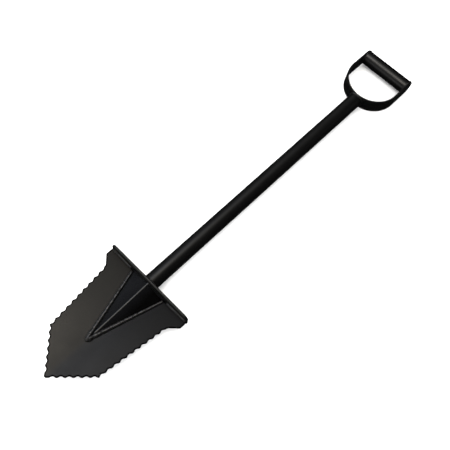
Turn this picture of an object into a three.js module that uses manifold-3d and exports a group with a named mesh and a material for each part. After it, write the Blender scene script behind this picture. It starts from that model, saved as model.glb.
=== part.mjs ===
// Welded steel detecting shovel: pointed serrated blade, step plate, gusset, tube and D-handle.
// Millimetres, +Z up. The tube runs along +X from the step plate to the D-handle, and the
// shovel lies on its back with the hollow side of the blade facing up.
// The finished group is set on z = 0, centred on the middle of its bounding box in x and y.
import * as THREE from 'three';
import { mergeVertices } from 'three/addons/utils/BufferGeometryUtils.js';
import Module from 'manifold-3d';

const wasm = await Module();
wasm.setup();

// Gap left between two pieces that touch on the real shovel.
const CLEARANCE = 0.3;

// Tube and flat bar stock.
const TUBE_DIAMETER = 31.75;
const TUBE_WALL = 2;
const STRAP_THICKNESS = 4;
const STEP_LIP = 3.2; // how far the step plate stands out past the tube, front and back
const STEP_THICKNESS = 4.8;
const STEP_CORNER_RADIUS = 10;

// Blade, measured from the step plate towards the tip and out from the centre crease.
const BLADE_THICKNESS = 3.2;
const BLADE_LENGTH = 239;
const BLADE_HALF_WIDTH = 99.5;
const SHOULDER_DISTANCE = 174;
const SHOULDER_HALF_WIDTH = 65;
const NOTCH_DISTANCE = 31;
const NOTCH_HALF_WIDTH = 83;
const NOTCH_RADIUS = 8;
const EAR_LENGTH = 15.2;
const EAR_CORNER_RADIUS = 2;
const TIP_RADIUS = 4;
const FOLD_RISE = 0.066; // rise of each half per millimetre from the crease
const BLADE_LIFT = THREE.MathUtils.degToRad(2.75);
const CREASE_DROP = 6.8; // crease below the tube's axis at the step plate

// Serrated cutting edges.
const TOOTH_PITCH = 14.1;
const TOOTH_DEPTH = 2.6;
const POINTS_PER_TOOTH = 8;
const SIDE_PLAIN = 3.3; // unserrated stretch below each ear
const POINT_PLAIN = 7.5; // unserrated stretch at the tip

// Gusset: a folded triangular sheet with its ridge over the blade's crease.
const GUSSET_LENGTH = 147;
const GUSSET_HALF_WIDTH = 41.7;
const GUSSET_HEIGHT = 17.1;
const GUSSET_THICKNESS = 3.2;
const GUSSET_BLUNT = 0.02; // share of the section left at the vertex
const CUT_DEPTH = 3; // how far a cutting solid reaches past the face it cuts

// Shaft and D-handle.
const SHAFT_LENGTH = 611.3; // blade side of the step plate to the outside of the strap's bend
const STRAP_RADIUS = 61.1; // outside of the strap's half-round bend
const ARM_LENGTH = 51.3; // straight part of each arm, up to the grip's axis

// Weld beads.
const GUSSET_BEAD = 3;
const SEAM_BEAD = 2.5;
const COLLAR_BEAD = 2.4;
const GRIP_BEAD = 1.8;
const TIP_BEAD = 4.2;
const SEAM_END = 2; // plain length at the outer end of each seam

const ROUND_SEGMENTS = 48;
const BEAD_SEGMENTS = 12;
const CORNER_SEGMENTS = 6;
const BEND_SEGMENTS = 40;

const STEP_WIDTH = TUBE_DIAMETER + 2 * STEP_LIP;
const STRAP_WIDTH = TUBE_DIAMETER; // flush with the tubes welded to it
const TUBE_RADIUS = TUBE_DIAMETER / 2;
const STRAP_HALF_WIDTH = STRAP_WIDTH / 2;
const STRAP_INNER_RADIUS = STRAP_RADIUS - STRAP_THICKNESS;
const BEND_CENTRE = SHAFT_LENGTH + STRAP_RADIUS;
const GRIP_CENTRE = BEND_CENTRE + ARM_LENGTH;
const FAR = 2 * BLADE_LENGTH; // larger than any piece of the blade

const bladeFrame = new THREE.Matrix4()
  .makeRotationY(BLADE_LIFT)
  .setPosition(0, 0, -CREASE_DROP);

const coat = {
  blade: { color: 0x38383a, roughness: 0.5, metalness: 0.35 },
  gusset: { color: 0x2c2d31, roughness: 0.5, metalness: 0.35 },
  bar: { color: 0x2a2a2c, roughness: 0.5, metalness: 0.35 },
  tube: { color: 0x242426, roughness: 0.45, metalness: 0.35 },
  bead: { color: 0x323234, roughness: 0.55, metalness: 0.4 },
};

// --- helpers ---------------------------------------------------------------------------

// A closed three.js geometry as a solid that can be joined and cut.
function solid(geometry) {
  geometry.deleteAttribute('normal');
  geometry.deleteAttribute('uv');
  const merged = mergeVertices(geometry, 1e-4);
  return new wasm.Manifold(new wasm.Mesh({
    numProp: 3,
    vertProperties: new Float32Array(merged.attributes.position.array),
    triVerts: new Uint32Array(merged.index.array),
  }));
}

function toGeometry(piece) {
  const mesh = piece.getMesh();
  const geometry = new THREE.BufferGeometry();
  geometry.setAttribute('position', new THREE.BufferAttribute(mesh.vertProperties, 3));
  geometry.setIndex(new THREE.BufferAttribute(mesh.triVerts, 1));
  geometry.computeVertexNormals();
  return geometry;
}

function cut(piece, ...tools) {
  return tools.reduce((rest, tool) => rest.subtract(tool), piece);
}

function extrude(points, depth) {
  const shape = new THREE.Shape(points.map(([x, y]) => new THREE.Vector2(x, y)));
  return new THREE.ExtrudeGeometry(shape, { depth, bevelEnabled: false, steps: 1 });
}

// Turns a section drawn as (y, z) and extruded along its own depth so that it runs along +X.
function alongX(geometry) {
  const turn = new THREE.Matrix4().makeBasis(
    new THREE.Vector3(0, 1, 0),
    new THREE.Vector3(0, 0, 1),
    new THREE.Vector3(1, 0, 0),
  );
  return geometry.applyMatrix4(turn);
}

// Points of the arc that rounds the corner between two straight lines.
function roundCorner(before, corner, after, radius, segments = CORNER_SEGMENTS) {
  const middle = new THREE.Vector2(...corner);
  const back = new THREE.Vector2(...before).sub(middle).normalize();
  const ahead = new THREE.Vector2(...after).sub(middle).normalize();
  const half = Math.acos(THREE.MathUtils.clamp(back.dot(ahead), -1, 1)) / 2;
  const reach = radius / Math.tan(half);
  const start = middle.clone().addScaledVector(back, reach);
  const end = middle.clone().addScaledVector(ahead, reach);
  const bisector = back.clone().add(ahead).normalize();
  const centre = middle.clone().addScaledVector(bisector, radius / Math.sin(half));
  const first = start.clone().sub(centre);
  const sweep = Math.atan2(first.cross(end.clone().sub(centre)), first.dot(end.clone().sub(centre)));
  return Array.from({ length: segments + 1 }, (_, i) => {
    const spoke = first.clone().rotateAround(new THREE.Vector2(), (sweep * i) / segments);
    return centre.clone().add(spoke).toArray();
  });
}

// Solid of revolution about the X axis, from a closed (x, radius) profile whose outside is
// drawn towards +X.
function revolve(profile) {
  const points = [...profile, profile[0]].map(([x, radius]) => new THREE.Vector2(radius, x));
  const geometry = new THREE.LatheGeometry(points, ROUND_SEGMENTS);
  return solid(geometry.rotateZ(-Math.PI / 2));
}

// Round bar from one point to another.
function rod(from, to, radius) {
  const axis = new THREE.Vector3().subVectors(to, from);
  const length = axis.length();
  const geometry = new THREE.CylinderGeometry(radius, radius, length, BEAD_SEGMENTS);
  const turn = new THREE.Quaternion().setFromUnitVectors(new THREE.Vector3(0, 1, 0), axis.normalize());
  geometry.applyQuaternion(turn);
  geometry.translate(...from.clone().add(to).multiplyScalar(0.5).toArray());
  return geometry;
}

// Ring of weld with a quarter-round face, in the corner between a tube and a flat face at x = 0.
function collarProfile(leg, inner) {
  const arc = Array.from({ length: CORNER_SEGMENTS + 1 }, (_, i) => {
    const angle = (i / CORNER_SEGMENTS) * (Math.PI / 2);
    return [CLEARANCE + leg * Math.sin(angle), inner + leg * Math.cos(angle)];
  });
  return [[CLEARANCE, inner], ...arc];
}

const box = (size, centre) => solid(new THREE.BoxGeometry(...size).translate(...centre));

// Everything on the handle side of a plane just short of the step plate's blade face.
const behindStep = box([FAR, FAR, FAR], [FAR / 2 - CLEARANCE, 0, 0]);

// --- blade -----------------------------------------------------------------------------

// Points of a scalloped edge, starting on a crest and ending with a plain stretch.
function serratedEdge(from, to, plain, inward) {
  const start = new THREE.Vector2(...from);
  const run = new THREE.Vector2(...to).sub(start);
  const toothed = run.length() - plain;
  const teeth = Math.max(1, Math.round(toothed / TOOTH_PITCH));
  const along = run.clone().normalize();
  const side = new THREE.Vector2(-along.y, along.x).multiplyScalar(inward);
  const count = teeth * POINTS_PER_TOOTH;
  return Array.from({ length: count + 1 }, (_, i) => {
    const depth = (TOOTH_DEPTH * (1 - Math.cos((2 * Math.PI * i) / POINTS_PER_TOOTH))) / 2;
    return start.clone()
      .addScaledVector(along, (toothed * i) / count)
      .addScaledVector(side, depth)
      .toArray();
  });
}

// Outline of one half of the blade, as (distance from the step plate, distance from the crease).
function halfOutline() {
  const shoulder = [SHOULDER_DISTANCE, SHOULDER_HALF_WIDTH];
  const notch = [NOTCH_DISTANCE, NOTCH_HALF_WIDTH];
  const ear = [EAR_LENGTH, BLADE_HALF_WIDTH];
  const tip = [BLADE_LENGTH, 0];
  const mirrored = [SHOULDER_DISTANCE, -SHOULDER_HALF_WIDTH];
  const tipArc = roundCorner(mirrored, tip, shoulder, TIP_RADIUS, 2 * CORNER_SEGMENTS);
  return [
    [-CUT_DEPTH, 0],
    [tipArc[CORNER_SEGMENTS][0], 0],
    ...tipArc.slice(CORNER_SEGMENTS + 1),
    ...serratedEdge(shoulder, tip, POINT_PLAIN, -1).reverse(),
    ...serratedEdge(shoulder, notch, SIDE_PLAIN, 1).slice(1),
    ...roundCorner(shoulder, notch, ear, NOTCH_RADIUS),
    ...roundCorner(notch, ear, [0, BLADE_HALF_WIDTH], EAR_CORNER_RADIUS),
    [-CUT_DEPTH, BLADE_HALF_WIDTH],
  ];
}

// Lifts both halves of a flat geometry about the crease.
function fold(geometry) {
  const position = geometry.attributes.position;
  for (let i = 0; i < position.count; i += 1) {
    position.setZ(i, position.getZ(i) + FOLD_RISE * Math.abs(position.getY(i)));
  }
  return geometry;
}

function makeBlade() {
  const halves = [1, -1].map((side) => {
    const outline = halfOutline().map(([distance, out]) => [-distance, side * out]);
    const geometry = extrude(outline, BLADE_THICKNESS).translate(0, 0, -BLADE_THICKNESS);
    return solid(fold(geometry).applyMatrix4(bladeFrame));
  });
  return cut(halves[0].add(halves[1]), behindStep);
}

// Everything on one side of a surface folded like the blade, at a height above its front face.
function foldedSpace(height, side) {
  const rise = FOLD_RISE * FAR;
  const depth = side * FAR;
  const section = [
    [-FAR, rise + height], [0, height], [FAR, rise + height],
    [FAR, rise + height + depth], [0, height + depth], [-FAR, rise + height + depth],
  ];
  const slab = alongX(extrude(section, 2 * FAR)).translate(-FAR, 0, 0);
  return solid(slab.applyMatrix4(bladeFrame));
}

const underFront = foldedSpace(CLEARANCE, -1);
const aboveBack = foldedSpace(-BLADE_THICKNESS - CLEARANCE, 1);

function makeStepPlate() {
  const y = BLADE_HALF_WIDTH;
  const z = STEP_WIDTH / 2;
  const corners = [[-y, -z], [y, -z], [y, z], [-y, z]];
  const outline = corners.flatMap((corner, i) => roundCorner(
    corners[(i + 3) % 4], corner, corners[(i + 1) % 4], STEP_CORNER_RADIUS,
  ));
  return solid(alongX(extrude(outline, STEP_THICKNESS)));
}

// --- gusset ----------------------------------------------------------------------------

// Distance from the foot of the gusset's end to each of its sloping faces.
const GUSSET_FACE_DISTANCE = 1 / Math.hypot(
  1 / GUSSET_LENGTH,
  (1 - (FOLD_RISE * GUSSET_HALF_WIDTH) / GUSSET_HEIGHT) / GUSSET_HALF_WIDTH,
  1 / GUSSET_HEIGHT,
);

// Solid three-sided pyramid under the gusset's sloping faces, moved outwards by an offset.
function gussetPyramid(offset) {
  const scale = 1 + offset / GUSSET_FACE_DISTANCE;
  const length = GUSSET_LENGTH * scale;
  const width = GUSSET_HALF_WIDTH * scale;
  const foot = FOLD_RISE * width;
  const section = [
    [-width, foot - CUT_DEPTH], [0, -CUT_DEPTH], [width, foot - CUT_DEPTH],
    [width, foot], [0, GUSSET_HEIGHT * scale], [-width, foot],
  ];
  const geometry = alongX(extrude(section, length + CUT_DEPTH)).translate(-length, 0, 0);
  const position = geometry.attributes.position;
  for (let i = 0; i < position.count; i += 1) {
    const share = Math.max((position.getX(i) + length) / length, GUSSET_BLUNT);
    position.setY(i, position.getY(i) * share);
    position.setZ(i, position.getZ(i) * share);
  }
  return solid(geometry.applyMatrix4(bladeFrame));
}

function makeGusset() {
  return cut(gussetPyramid(0), gussetPyramid(-GUSSET_THICKNESS), underFront, behindStep);
}

// --- weld beads on the head ------------------------------------------------------------

const vertex = new THREE.Vector3(-GUSSET_LENGTH, 0, 0);
const ridge = new THREE.Vector3(0, 0, GUSSET_HEIGHT);
const foldPoint = (y, drop = 0) => new THREE.Vector3(0, y, FOLD_RISE * Math.abs(y) - drop);

// A bead and the same bead grown by the clearance, which cuts the beads that run into it.
function bead(from, to, radius) {
  const reach = new THREE.Vector3().subVectors(to, from).setLength(CLEARANCE);
  const place = (start, end, size) => solid(rod(start, end, size).applyMatrix4(bladeFrame));
  return {
    body: place(from, to, radius),
    grown: place(from.clone().sub(reach), to.clone().add(reach), radius + CLEARANCE),
  };
}

function tipBead() {
  const place = (size) => {
    const ball = new THREE.SphereGeometry(size, 2 * BEAD_SEGMENTS, BEAD_SEGMENTS);
    return solid(ball.translate(...vertex.toArray()).applyMatrix4(bladeFrame));
  };
  return { body: place(TIP_BEAD), grown: place(TIP_BEAD + CLEARANCE) };
}

function headBeads() {
  const gusset = gussetPyramid(CLEARANCE);
  const tip = tipBead();
  const beads = { weld_gusset_tip: cut(tip.body, underFront, gusset) };
  for (const [name, side] of [['left', 1], ['right', -1]]) {
    const foot = foldPoint(side * GUSSET_HALF_WIDTH);
    const otherHalf = box([2 * FAR, FAR, FAR], [0, (side * (CLEARANCE - FAR)) / 2, 0]);
    const seamStart = side * (GUSSET_HALF_WIDTH + GUSSET_BEAD + SEAM_BEAD);
    const seamStop = side * (BLADE_HALF_WIDTH - SEAM_END);
    const top = bead(foot, ridge, GUSSET_BEAD);
    const base = bead(vertex, foot, GUSSET_BEAD);
    const front = bead(foldPoint(seamStart), foldPoint(seamStop), SEAM_BEAD);
    const back = bead(
      foldPoint(side * SEAM_END, BLADE_THICKNESS),
      foldPoint(seamStop, BLADE_THICKNESS),
      SEAM_BEAD,
    );
    beads[`weld_gusset_${name}`] = cut(
      base.body, underFront, gusset, tip.grown, top.grown, otherHalf, behindStep,
    );
    beads[`weld_gusset_end_${name}`] = cut(top.body, underFront, gusset, otherHalf, behindStep);
    beads[`weld_seam_front_${name}`] = cut(front.body, underFront, behindStep);
    beads[`weld_seam_back_${name}`] = cut(back.body, aboveBack, behindStep);
  }
  return beads;
}

// --- shaft and D-handle ----------------------------------------------------------------

// Upright cylinder on the axis of the strap's bend.
function bendCylinder(radius) {
  const geometry = new THREE.CylinderGeometry(radius, radius, FAR, 4 * ROUND_SEGMENTS);
  return solid(geometry.rotateX(Math.PI / 2).translate(BEND_CENTRE, 0, 0));
}

function makeShaft() {
  const start = STEP_THICKNESS + CLEARANCE;
  const inner = TUBE_RADIUS - TUBE_WALL;
  const tube = revolve([
    [start, inner], [start, TUBE_RADIUS], [BEND_CENTRE, TUBE_RADIUS], [BEND_CENTRE, inner],
  ]);
  return cut(tube, bendCylinder(STRAP_RADIUS + CLEARANCE));
}

// Points of a half-round bend, from the right arm round the bottom to the left arm.
function bendArc(radius) {
  return Array.from({ length: BEND_SEGMENTS + 1 }, (_, i) => {
    const angle = Math.PI * (i / BEND_SEGMENTS - 0.5);
    return [BEND_CENTRE - radius * Math.cos(angle), radius * Math.sin(angle)];
  });
}

function makeStrap() {
  const end = GRIP_CENTRE + STRAP_HALF_WIDTH;
  const outline = [
    [end, -STRAP_RADIUS], ...bendArc(STRAP_RADIUS), [end, STRAP_RADIUS],
    [end, STRAP_INNER_RADIUS], ...bendArc(STRAP_INNER_RADIUS).reverse(), [end, -STRAP_INNER_RADIUS],
  ];
  const bar = solid(extrude(outline, STRAP_WIDTH).translate(0, 0, -STRAP_HALF_WIDTH));
  const roundEnd = new THREE.CylinderGeometry(
    STRAP_HALF_WIDTH, STRAP_HALF_WIDTH, 2 * FAR, ROUND_SEGMENTS,
  );
  const corners = cut(
    box([STRAP_WIDTH, 2 * FAR, 2 * STRAP_WIDTH], [GRIP_CENTRE + STRAP_HALF_WIDTH, 0, 0]),
    solid(roundEnd.translate(GRIP_CENTRE, 0, 0)),
  );
  return cut(bar, corners);
}

function makeGrip() {
  const half = STRAP_INNER_RADIUS - CLEARANCE;
  const inner = TUBE_RADIUS - TUBE_WALL;
  return revolve([[-half, inner], [-half, TUBE_RADIUS], [half, TUBE_RADIUS], [half, inner]]);
}

function makeStrapCollar() {
  const inner = TUBE_RADIUS + CLEARANCE;
  const arc = collarProfile(COLLAR_BEAD, inner).slice(1).reverse();
  const overlap = STRAP_RADIUS - Math.sqrt(STRAP_RADIUS ** 2 - (inner + COLLAR_BEAD) ** 2);
  const back = SHAFT_LENGTH + overlap;
  const ring = revolve([
    ...arc.map(([x, radius]) => [SHAFT_LENGTH - x, radius]),
    [back, inner + COLLAR_BEAD],
    [back, inner],
  ]);
  return cut(ring, bendCylinder(STRAP_RADIUS + CLEARANCE));
}

// --- assembly --------------------------------------------------------------------------

function addMesh(parent, name, piece, finish) {
  const mesh = new THREE.Mesh(toGeometry(piece), new THREE.MeshStandardMaterial(coat[finish]));
  mesh.name = name;
  parent.add(mesh);
  return mesh;
}

const head = new THREE.Group();
addMesh(head, 'blade', makeBlade(), 'blade');
addMesh(head, 'step_plate', makeStepPlate(), 'bar');
addMesh(head, 'gusset', makeGusset(), 'gusset');
for (const [name, piece] of Object.entries(headBeads())) {
  addMesh(head, name, piece, 'bead');
}

const handle = new THREE.Group();
addMesh(handle, 'shaft_tube', makeShaft(), 'tube');
addMesh(handle, 'handle_strap', makeStrap(), 'bar');
addMesh(handle, 'weld_shaft_strap', makeStrapCollar(), 'bead');
const stepCollar = addMesh(
  handle, 'weld_shaft_step', revolve(collarProfile(COLLAR_BEAD, TUBE_RADIUS + CLEARANCE)), 'bead',
);
stepCollar.position.x = STEP_THICKNESS;

const grip = new THREE.Group();
grip.position.x = GRIP_CENTRE;
grip.rotation.z = Math.PI / 2;
addMesh(grip, 'grip_tube', makeGrip(), 'tube');
for (const [name, side] of [['left', 1], ['right', -1]]) {
  const ring = revolve(collarProfile(GRIP_BEAD, TUBE_RADIUS + CLEARANCE));
  const mesh = addMesh(grip, `weld_grip_${name}`, ring, 'bead');
  mesh.rotation.z = side > 0 ? Math.PI : 0;
  mesh.position.x = side * STRAP_INNER_RADIUS;
}
handle.add(grip);

const shovel = new THREE.Group();
shovel.add(head, handle);
const bounds = new THREE.Box3().setFromObject(shovel);
const middle = bounds.getCenter(new THREE.Vector3());
shovel.position.set(-middle.x, -middle.y, -bounds.min.z);

export default shovel;
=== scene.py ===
"""Welded steel detecting shovel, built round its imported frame.

Lengths are in metres. The shovel lies on its back along X, with the blade's tip at low X, the
D-handle at high X and +Z out of the hollow side of the blade. Left means +Y.
"""
import logging
import math
from collections.abc import Callable, Iterable, Sequence
from dataclasses import dataclass, field
from enum import Enum
from typing import Any

import bmesh
import bpy
from mathutils import Matrix, Vector


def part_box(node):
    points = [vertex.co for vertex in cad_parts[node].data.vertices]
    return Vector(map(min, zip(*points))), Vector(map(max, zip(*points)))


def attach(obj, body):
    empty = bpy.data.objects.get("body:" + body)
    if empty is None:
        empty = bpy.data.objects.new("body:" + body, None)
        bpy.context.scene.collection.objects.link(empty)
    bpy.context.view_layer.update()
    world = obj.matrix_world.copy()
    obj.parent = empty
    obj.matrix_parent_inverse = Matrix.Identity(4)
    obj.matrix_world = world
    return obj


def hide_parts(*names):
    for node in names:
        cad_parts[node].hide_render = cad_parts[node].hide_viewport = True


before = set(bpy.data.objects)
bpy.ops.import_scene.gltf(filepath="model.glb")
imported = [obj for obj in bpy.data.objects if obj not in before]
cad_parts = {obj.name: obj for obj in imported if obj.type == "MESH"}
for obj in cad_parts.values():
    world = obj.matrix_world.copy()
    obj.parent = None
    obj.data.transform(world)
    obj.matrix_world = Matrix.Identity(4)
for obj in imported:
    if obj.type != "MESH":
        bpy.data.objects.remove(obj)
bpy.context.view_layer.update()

MM = 0.001
BODY = "root"
PHASE, INWARD, RIM = "tooth_phase", "tooth_inward", "rim"  # attributes of a plate's points
FULL_RIM = 0.99  # rim value from which a point counts as wholly on a cut edge
TINY = 1e-6
FLOAT, COLOUR, INTEGER = "NodeSocketFloat", "NodeSocketColor", "NodeSocketInt"
GEOMETRY, MATERIAL = "NodeSocketGeometry", "NodeSocketMaterial"

Point = tuple[float, float]
Spot = tuple[float, float, float]
Colour = tuple[float, float, float]
ToothPoint = tuple[Point, float, Point]  # place, phase in a tooth, direction of the cut
Place = Callable[[float, float, float], Vector]

log = logging.getLogger("shovel")


class Slot(Enum):
    """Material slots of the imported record."""

    BLADE = "blade_coat"
    GUSSET = "gusset_coat"
    BAR = "bar_coat"
    TUBE = "tube_coat"
    GRIP = "grip_coat"
    WELD = "weld_coat"


class Side(Enum):
    """Halves of the shovel, with the sign of Y on each."""

    LEFT = 1
    RIGHT = -1

    @property
    def label(self) -> str:
        """The half's name as the pieces spell it."""
        return self.name.lower()


# --- node trees --------------------------------------------------------------------------


class Nodes:
    """Adds nodes to a tree and links them as they are made."""

    def __init__(self, tree: bpy.types.NodeTree) -> None:
        """Work on an existing tree."""
        self.tree = tree

    def add(self, kind: str, inputs: dict[Any, Any] | None = None, **settings: Any) -> bpy.types.Node:
        """Add one node.

        Args:
            kind: The node's type name.
            inputs: Values or sockets for its inputs, by name or number.
            **settings: Properties of the node.

        Returns:
            The node.
        """
        node = self.tree.nodes.new(kind)
        for key, value in settings.items():
            setattr(node, key, value)
        for key, value in (inputs or {}).items():
            if isinstance(value, bpy.types.NodeSocket):
                self.tree.links.new(value, node.inputs[key])
            else:
                node.inputs[key].default_value = value
        return node

    def math(self, operation: str, *values: Any, clamp: bool = False) -> bpy.types.NodeSocket:
        """Do arithmetic on numbers or sockets.

        Args:
            operation: The Math node's operation.
            *values: Its inputs in order.
            clamp: Whether the result is kept between 0 and 1.

        Returns:
            The result's socket.
        """
        inputs = dict(enumerate(values))
        return self.add("ShaderNodeMath", inputs, operation=operation, use_clamp=clamp).outputs[0]

    def noise(self, scale: Any, detail: float, output: str = "Fac",
              **inputs: Any) -> bpy.types.NodeSocket:
        """Add a noise texture, one-dimensional where W is given.

        Args:
            scale: The noise's scale, a number or a socket.
            detail: The noise's detail.
            output: The output that is wanted.
            **inputs: The other inputs by name.

        Returns:
            The output's socket.
        """
        dimensions = "1D" if "W" in inputs else "3D"
        given = {"Scale": scale, "Detail": detail, **inputs}
        return self.add("ShaderNodeTexNoise", given, noise_dimensions=dimensions).outputs[output]

    def scaled(self, vector: Any, factor: Any) -> bpy.types.NodeSocket:
        """Multiply a vector by a number and return the result's socket."""
        inputs = {0: vector, "Scale": factor}
        return self.add("ShaderNodeVectorMath", inputs, operation="SCALE").outputs["Vector"]

    def place_on_piece(self) -> bpy.types.NodeSocket:
        """Return the socket of the place on the piece, on which patterns stay put."""
        return self.add("ShaderNodeTexCoord").outputs["Object"]

    def put_out(self, value: bpy.types.NodeSocket, target: bpy.types.NodeSocket) -> bpy.types.NodeTree:
        """Link a value to an output of the tree and return the tree."""
        self.tree.links.new(value, target)
        return self.tree


def new_group(name: str, kind: str, inputs: dict[str, tuple[str, Any]],
              outputs: dict[str, str]) -> tuple[Nodes, Any, Any]:
    """Make a node group with named sockets.

    Args:
        name: The group's name.
        kind: "GeometryNodeTree" or "ShaderNodeTree".
        inputs: Socket type and default value of each input, the value None for no default.
        outputs: Socket type of each output.

    Returns:
        The group's nodes, its input node's outputs and its output node's inputs.
    """
    tree = bpy.data.node_groups.new(name, kind)
    for label, (socket_type, value) in inputs.items():
        socket = tree.interface.new_socket(name=label, in_out="INPUT", socket_type=socket_type)
        if value is not None:
            socket.default_value = value
    for label, socket_type in outputs.items():
        tree.interface.new_socket(name=label, in_out="OUTPUT", socket_type=socket_type)
    nodes = Nodes(tree)
    return nodes, nodes.add("NodeGroupInput").outputs, nodes.add("NodeGroupOutput").inputs


class CoatEffects:
    """Shader node groups that the powder-coated finishes share."""

    def __init__(self) -> None:
        """Build every group once."""
        self.peel = self._peel()
        self.mottle = self._mottle()
        self.halves = self._halves()
        self.edges = self._edges()

    @staticmethod
    def _peel() -> bpy.types.NodeTree:
        """Build the orange peel and fine grain of a baked powder coat.

        Returns:
            A group that puts out a height from 0 to 1.
        """
        nodes, given, result = new_group(
            "powder_peel", "ShaderNodeTree",
            {"Peel Scale": (FLOAT, 420.0), "Grain Scale": (FLOAT, 1500.0), "Grain Share": (FLOAT, 0.35)},
            {"Height": FLOAT},
        )
        where = nodes.place_on_piece()
        peel = nodes.noise(given["Peel Scale"], 1.0, Vector=where)
        grain = nodes.noise(given["Grain Scale"], 2.0, Vector=where)
        height = nodes.add("ShaderNodeMix", {0: given["Grain Share"], 2: peel, 3: grain})
        return nodes.put_out(height.outputs[0], result["Height"])

    @staticmethod
    def _mottle() -> bpy.types.NodeTree:
        """Build the broad uneven patches of the coat.

        Returns:
            A group that puts out a shift, about 0 and as wide as its amount.
        """
        nodes, given, result = new_group(
            "coat_mottle", "ShaderNodeTree",
            {"Scale": (FLOAT, 22.0), "Amount": (FLOAT, 0.1)}, {"Shift": FLOAT},
        )
        where = nodes.place_on_piece()
        patches = nodes.noise(given["Scale"], 4.0, Vector=where, Roughness=0.55)
        centred = nodes.math("MULTIPLY_ADD", patches, 4.0, -2.0)
        shift = nodes.math("MULTIPLY", centred, given["Amount"])
        return nodes.put_out(shift, result["Shift"])

    @staticmethod
    def _halves() -> bpy.types.NodeTree:
        """Build the painted light and shade that turn from one colour on the left half to another on the
        right.

        Returns:
            A group that puts out a colour.
        """
        nodes, given, result = new_group(
            "half_painted_light", "ShaderNodeTree",
            {"Left": (COLOUR, None), "Right": (COLOUR, None), "Turn": (FLOAT, 0.02)},
            {"Colour": COLOUR},
        )
        where = nodes.place_on_piece()
        across = nodes.add("ShaderNodeSeparateXYZ", {0: where}).outputs["Y"]
        wander = nodes.math("MULTIPLY_ADD", nodes.noise(30.0, 2.0, Vector=where), 0.02, -0.01)
        shifted = nodes.math("ADD", across, wander)
        share = nodes.math("MULTIPLY_ADD", nodes.math("DIVIDE", shifted, given["Turn"]), 0.5, 0.5,
                           clamp=True)
        mix = nodes.add("ShaderNodeMix", {0: share, 6: given["Right"], 7: given["Left"]},
                        data_type="RGBA")
        return nodes.put_out(mix.outputs[2], result["Colour"])

    @staticmethod
    def _edges() -> bpy.types.NodeTree:
        """Build the mask of a plate's cut edges, where the coat is rougher and painted darker: painted
        shade along the edges.

        Returns:
            A group that puts out the mask, broken up by noise.
        """
        nodes, given, result = new_group(
            "cut_edges", "ShaderNodeTree",
            {"Amount": (FLOAT, 0.5), "Break": (FLOAT, 0.3), "Scale": (FLOAT, 160.0)},
            {"Mask": FLOAT},
        )
        where = nodes.place_on_piece()
        rim = nodes.add("ShaderNodeAttribute", attribute_name=RIM).outputs["Fac"]
        noise = nodes.noise(given["Scale"], 3.0, Vector=where)
        bare = nodes.math("MULTIPLY_ADD", noise, -2.5, 1.75, clamp=True)
        kept = nodes.math("SUBTRACT", 1.0, nodes.math("MULTIPLY", bare, given["Break"]))
        mask = nodes.math("MULTIPLY", nodes.math("MULTIPLY", rim, kept), given["Amount"])
        return nodes.put_out(mask, result["Mask"])


def grey(value: float) -> Colour:
    """Give the colour with the same value in every channel."""
    return (value, value, value)


@dataclass(frozen=True)
class PowderCoat:
    """Satin black powder coat as it lies on one kind of piece.

    Attributes:
        name: The material's name.
        slot: The record's slot that it belongs to.
        left: Colour on the left half; on the blade and the gusset it is lighter, painted light and
            reflection.
        right: Colour on the right half; on the blade and the gusset it is darker, painted shade.
        edge_colour: Colour on the cut edges, darker than the faces: painted shade along the edges.
        roughness: Roughness of the coat.
        specular: Specular level of the coat.
        mottle: How far broad patches shift the roughness.
        peel_height: Height of the orange peel, in metres.
        edge_amount: How far the cut edges differ from the faces.
        edge_break: How far noise breaks up the look of the cut edges.
        edge_dulling: How much rougher the coat is on the cut edges.
        turn: Width over which left turns to right, in metres.
    """

    name: str
    slot: Slot
    left: Colour
    right: Colour
    edge_colour: Colour = grey(0.0004)
    roughness: float = 0.5
    specular: float = 0.3
    mottle: float = 0.05
    peel_height: float = 0.05 * MM
    edge_amount: float = 0.8
    edge_break: float = 0.3
    edge_dulling: float = 0.25
    turn: float = 20 * MM

    def material(self, effects: CoatEffects) -> bpy.types.Material:
        """Build the material.

        Args:
            effects: The node groups shared by the finishes.

        Returns:
            A node material on Object coordinates.
        """
        material = bpy.data.materials.new(self.name)
        material.use_nodes = True
        nodes = Nodes(material.node_tree)
        surface = material.node_tree.nodes["Principled BSDF"]
        links = material.node_tree.links
        # painted light and shade: the blade and the gusset are lighter on the left half and darker on
        # the right
        painted_side_light = nodes.add("ShaderNodeGroup", {
            "Left": (*self.left, 1), "Right": (*self.right, 1), "Turn": self.turn,
        }, node_tree=effects.halves)
        edges = nodes.add("ShaderNodeGroup", {"Amount": self.edge_amount, "Break": self.edge_break},
                          node_tree=effects.edges)
        mottle = nodes.add("ShaderNodeGroup", {"Amount": self.mottle}, node_tree=effects.mottle)
        peel = nodes.add("ShaderNodeGroup", node_tree=effects.peel)
        # cut edges take the darker edge colour: painted shade along the edges
        colour = nodes.add("ShaderNodeMix", {
            0: edges.outputs["Mask"], 6: painted_side_light.outputs["Colour"], 7: (*self.edge_colour, 1),
        }, data_type="RGBA")
        links.new(colour.outputs[2], surface.inputs["Base Color"])
        rough = nodes.math("ADD", mottle.outputs["Shift"], self.roughness)
        dulled = nodes.math("MULTIPLY_ADD", edges.outputs["Mask"], self.edge_dulling, rough,
                            clamp=True)
        links.new(dulled, surface.inputs["Roughness"])
        bump = nodes.add("ShaderNodeBump", {
            "Strength": 1.0, "Distance": self.peel_height, "Height": peel.outputs["Height"],
        })
        links.new(bump.outputs["Normal"], surface.inputs["Normal"])
        surface.inputs["Specular IOR Level"].default_value = self.specular
        return material


# --- shared mesh work --------------------------------------------------------------------


def object_from(name: str, mesh: bpy.types.Mesh) -> bpy.types.Object:
    """Put a mesh into the scene.

    Args:
        name: The object's name.
        mesh: Its mesh.

    Returns:
        The object, at the origin.
    """
    piece = bpy.data.objects.new(name, mesh)
    bpy.context.scene.collection.objects.link(piece)
    return piece


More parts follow.
